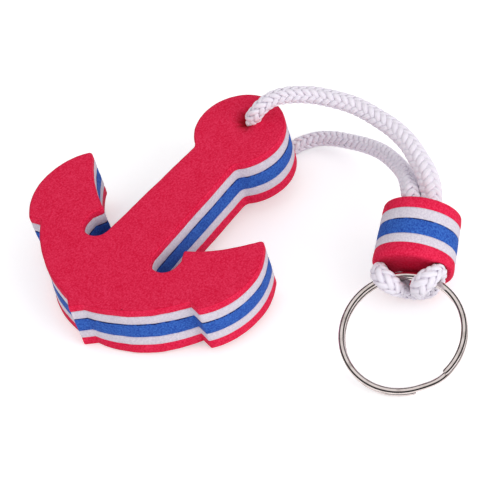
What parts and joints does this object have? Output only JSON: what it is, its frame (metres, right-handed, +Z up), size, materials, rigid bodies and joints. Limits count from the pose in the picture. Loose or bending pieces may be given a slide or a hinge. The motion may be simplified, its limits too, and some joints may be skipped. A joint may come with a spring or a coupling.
{
  "type": "floating keychain",
  "caption": "Foam anchor and foam bead laminated in coloured sheets, joined by a braided cord that is hitched to a split ring.",
  "frame": {"origin": "middle of the rigid pieces' footprint, on the surface that they lie on", "axes": "+Z up from the surface, +Y along the anchor's shank from crown to head, +X across the flukes towards the ring"},
  "size_m": [0.1128, 0.0857, 0.0274],
  "materials": {
    "foam_red": "matt closed-cell foam, cut edges",
    "foam_white": "matt closed-cell foam, cut edges",
    "foam_blue": "matt closed-cell foam, cut edges",
    "cord_white": "plaited yarns",
    "ring_nickel": "bright plated wire"
  },
  "bodies": {
    "float": {"anchor_bottom_red": "foam_red", "anchor_lower_white": "foam_white", "anchor_middle_blue": "foam_blue", "anchor_upper_white": "foam_white", "anchor_top_red": "foam_red", "bead_front_red": "foam_red", "bead_front_white": "foam_white", "bead_middle_blue": "foam_blue", "bead_rear_white": "foam_white", "bead_rear_red": "foam_red", "cord": "cord_white"},
    "ring": {"split_ring": "ring_nickel"}
  },
  "joints": [
    {"name": "ring_swing", "type": "hinge", "parent": "float", "child": "ring", "pos_m": [0.03574, 0.01618, 0.0108], "axis": [0.9003, 0.4352, 0], "range_deg": [-90, 90], "deforming": ["cord"]}
  ]
}
